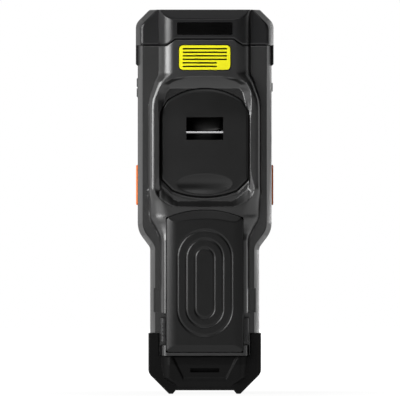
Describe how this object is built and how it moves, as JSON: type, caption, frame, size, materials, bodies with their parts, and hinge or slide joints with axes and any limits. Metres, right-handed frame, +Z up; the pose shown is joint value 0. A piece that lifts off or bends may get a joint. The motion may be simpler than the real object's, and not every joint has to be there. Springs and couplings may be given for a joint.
{
  "type": "portable barcode data terminal",
  "caption": "Rugged handheld barcode terminal with a wide head, keyed grip, swing-out rear battery pack, strap plate and orange side triggers.",
  "frame": {"origin": "on the floor, under the middle of the standing terminal's box", "axes": "+Z up the terminal's length from the bumper to the head, +X to its right seen from behind, and +Y out of the screen, so that the back with the battery faces -Y"},
  "size_m": [0.0762, 0.0352, 0.2123],
  "materials": {
    "housing": "fine satin moulded plastic",
    "head_cap": "satin moulded plastic, darker",
    "inlay": "glossy black, bare",
    "bumper": "soft-touch moulded plastic",
    "strap_plate": "fine satin moulded plastic",
    "battery_shell": "fine satin moulded plastic",
    "soft_seal": "black silicone",
    "scan_glass": "dark red polished",
    "lens_glass": "coated lens",
    "module_black": "black",
    "display_glass": "polished with black border",
    "display": "dark display, off",
    "frame_metal": "cast light alloy",
    "circuit_board": "green solder mask",
    "mat_rubber": "grey silicone",
    "steel": "polished stainless",
    "gold": "gold plated",
    "cell_wrap": "blue shrink wrap",
    "label": "yellow label with blank ruled lines",
    "latch": "moulded plastic",
    "trigger_orange": "orange moulded plastic",
    "side_key": "black rubber",
    "door_rubber": "dark rubber",
    "number_key": "grey rubber key with plain white numbers",
    "control_key": "dark rubber key",
    "scan_key": "orange rubber key"
  },
  "bodies": {
    "terminal": {"front_housing": "housing", "rear_housing": "housing", "head_cap": "head_cap", "inlay_panel": "inlay", "bottom_bumper": "bumper", "strap_plate": "strap_plate", "side_seals": "soft_seal", "display_gasket": "soft_seal", "scan_window": "scan_glass", "scan_lens": "lens_glass", "scan_engine": "module_black", "board_components": "module_black", "speaker": "module_black", "side_switches": "module_black", "battery_contacts": "module_black", "display_window": "display_glass", "lcd_module": "display", "mid_frame": "frame_metal", "main_board": "circuit_board", "keypad_board": "circuit_board", "keypad_mat": "mat_rubber", "strap_bar": "steel", "housing_screws": "steel", "io_connector": "steel", "vibration_motor": "steel", "latch_spring_left": "steel", "latch_spring_right": "steel", "dock_contacts": "gold", "asset_label": "label"},
    "battery": {"battery_case": "battery_shell", "battery_cells": "cell_wrap", "battery_pads": "gold"},
    "latch_left": {"latch_left": "latch"},
    "latch_right": {"latch_right": "latch"},
    "connector_door": {"io_door": "door_rubber"},
    "trigger_left": {"trigger_left": "trigger_orange"},
    "trigger_right": {"trigger_right": "trigger_orange"},
    "volume_down": {"volume_down": "side_key"},
    "volume_up": {"volume_up": "side_key"},
    "power_key": {"power_key": "side_key"},
    "nav_pad": {"nav_pad": "control_key"},
    "key_star": {"key_star": "number_key"},
    "key_0": {"key_0": "number_key"},
    "key_hash": {"key_hash": "number_key"},
    "key_return": {"key_return": "number_key"},
    "key_7": {"key_7": "number_key"},
    "key_8": {"key_8": "number_key"},
    "key_9": {"key_9": "number_key"},
    "key_function": {"key_function": "number_key"},
    "key_4": {"key_4": "number_key"},
    "key_5": {"key_5": "number_key"},
    "key_6": {"key_6": "number_key"},
    "key_tab": {"key_tab": "number_key"},
    "key_1": {"key_1": "number_key"},
    "key_2": {"key_2": "number_key"},
    "key_3": {"key_3": "number_key"},
    "key_delete": {"key_delete": "number_key"},
    "key_escape": {"key_escape": "control_key"},
    "key_enter": {"key_enter": "control_key"},
    "key_scan": {"key_scan": "scan_key"}
  },
  "joints": [
    {"name": "battery_hinge", "type": "hinge", "parent": "terminal", "child": "battery", "pos_m": [0, -0.0155, 0.1016], "axis": [-1, 0, 0], "range_deg": [0, 30]},
    {"name": "door_hinge", "type": "hinge", "parent": "terminal", "child": "connector_door", "pos_m": [0.03605, 0.0089, 0.141], "axis": [0, 0, 1], "range_deg": [0, 95]},
    {"name": "latch_left_slide", "type": "slide", "parent": "terminal", "child": "latch_left", "axis": [0, 0, 1], "range_m": [0, 0.002], "stiffness_N_per_m": 600, "springref_m": -0.0012, "deforming": ["latch_spring_left"]},
    {"name": "latch_right_slide", "type": "slide", "parent": "terminal", "child": "latch_right", "axis": [0, 0, 1], "range_m": [0, 0.002], "stiffness_N_per_m": 600, "springref_m": -0.0012, "deforming": ["latch_spring_right"]},
    {"name": "trigger_left_press", "type": "slide", "parent": "terminal", "child": "trigger_left", "axis": [1, 0, 0], "range_m": [0, 0.0007], "stiffness_N_per_m": 1500, "springref_m": -0.0005},
    {"name": "trigger_right_press", "type": "slide", "parent": "terminal", "child": "trigger_right", "axis": [-1, 0, 0], "range_m": [0, 0.0007], "stiffness_N_per_m": 1500, "springref_m": -0.0005},
    {"name": "volume_down_press", "type": "slide", "parent": "terminal", "child": "volume_down", "axis": [1, 0, 0], "range_m": [0, 0.0004], "stiffness_N_per_m": 1500, "springref_m": -0.0005},
    {"name": "volume_up_press", "type": "slide", "parent": "terminal", "child": "volume_up", "axis": [1, 0, 0], "range_m": [0, 0.0004], "stiffness_N_per_m": 1500, "springref_m": -0.0005},
    {"name": "power_key_press", "type": "slide", "parent": "terminal", "child": "power_key", "axis": [-1, 0, 0], "range_m": [0, 0.0004], "stiffness_N_per_m": 1500, "springref_m": -0.0005},
    {"name": "nav_pad_press", "type": "slide", "parent": "terminal", "child": "nav_pad", "axis": [0, -1, 0], "range_m": [0, 0.0006], "stiffness_N_per_m": 1200, "springref_m": -0.0005},
    {"name": "key_star_press", "type": "slide", "parent": "terminal", "child": "key_star", "axis": [0, -1, 0], "range_m": [0, 0.0006], "stiffness_N_per_m": 1200, "springref_m": -0.0005},
    {"name": "key_0_press", "type": "slide", "parent": "terminal", "child": "key_0", "axis": [0, -1, 0], "range_m": [0, 0.0006], "stiffness_N_per_m": 1200, "springref_m": -0.0005},
    {"name": "key_hash_press", "type": "slide", "parent": "terminal", "child": "key_hash", "axis": [0, -1, 0], "range_m": [0, 0.0006], "stiffness_N_per_m": 1200, "springref_m": -0.0005},
    {"name": "key_return_press", "type": "slide", "parent": "terminal", "child": "key_return", "axis": [0, -1, 0], "range_m": [0, 0.0006], "stiffness_N_per_m": 1200, "springref_m": -0.0005},
    {"name": "key_7_press", "type": "slide", "parent": "terminal", "child": "key_7", "axis": [0, -1, 0], "range_m": [0, 0.0006], "stiffness_N_per_m": 1200, "springref_m": -0.0005},
    {"name": "key_8_press", "type": "slide", "parent": "terminal", "child": "key_8", "axis": [0, -1, 0], "range_m": [0, 0.0006], "stiffness_N_per_m": 1200, "springref_m": -0.0005},
    {"name": "key_9_press", "type": "slide", "parent": "terminal", "child": "key_9", "axis": [0, -1, 0], "range_m": [0, 0.0006], "stiffness_N_per_m": 1200, "springref_m": -0.0005},
    {"name": "key_function_press", "type": "slide", "parent": "terminal", "child": "key_function", "axis": [0, -1, 0], "range_m": [0, 0.0006], "stiffness_N_per_m": 1200, "springref_m": -0.0005},
    {"name": "key_4_press", "type": "slide", "parent": "terminal", "child": "key_4", "axis": [0, -1, 0], "range_m": [0, 0.0006], "stiffness_N_per_m": 1200, "springref_m": -0.0005},
    {"name": "key_5_press", "type": "slide", "parent": "terminal", "child": "key_5", "axis": [0, -1, 0], "range_m": [0, 0.0006], "stiffness_N_per_m": 1200, "springref_m": -0.0005},
    {"name": "key_6_press", "type": "slide", "parent": "terminal", "child": "key_6", "axis": [0, -1, 0], "range_m": [0, 0.0006], "stiffness_N_per_m": 1200, "springref_m": -0.0005},
    {"name": "key_tab_press", "type": "slide", "parent": "terminal", "child": "key_tab", "axis": [0, -1, 0], "range_m": [0, 0.0006], "stiffness_N_per_m": 1200, "springref_m": -0.0005},
    {"name": "key_1_press", "type": "slide", "parent": "terminal", "child": "key_1", "axis": [0, -1, 0], "range_m": [0, 0.0006], "stiffness_N_per_m": 1200, "springref_m": -0.0005},
    {"name": "key_2_press", "type": "slide", "parent": "terminal", "child": "key_2", "axis": [0, -1, 0], "range_m": [0, 0.0006], "stiffness_N_per_m": 1200, "springref_m": -0.0005},
    {"name": "key_3_press", "type": "slide", "parent": "terminal", "child": "key_3", "axis": [0, -1, 0], "range_m": [0, 0.0006], "stiffness_N_per_m": 1200, "springref_m": -0.0005},
    {"name": "key_delete_press", "type": "slide", "parent": "terminal", "child": "key_delete", "axis": [0, -1, 0], "range_m": [0, 0.0006], "stiffness_N_per_m": 1200, "springref_m": -0.0005},
    {"name": "key_escape_press", "type": "slide", "parent": "terminal", "child": "key_escape", "axis": [0, -1, 0], "range_m": [0, 0.0006], "stiffness_N_per_m": 1200, "springref_m": -0.0005},
    {"name": "key_enter_press", "type": "slide", "parent": "terminal", "child": "key_enter", "axis": [0, -1, 0], "range_m": [0, 0.0006], "stiffness_N_per_m": 1200, "springref_m": -0.0005},
    {"name": "key_scan_press", "type": "slide", "parent": "terminal", "child": "key_scan", "axis": [0, -1, 0], "range_m": [0, 0.0006], "stiffness_N_per_m": 1200, "springref_m": -0.0005}
  ]
}
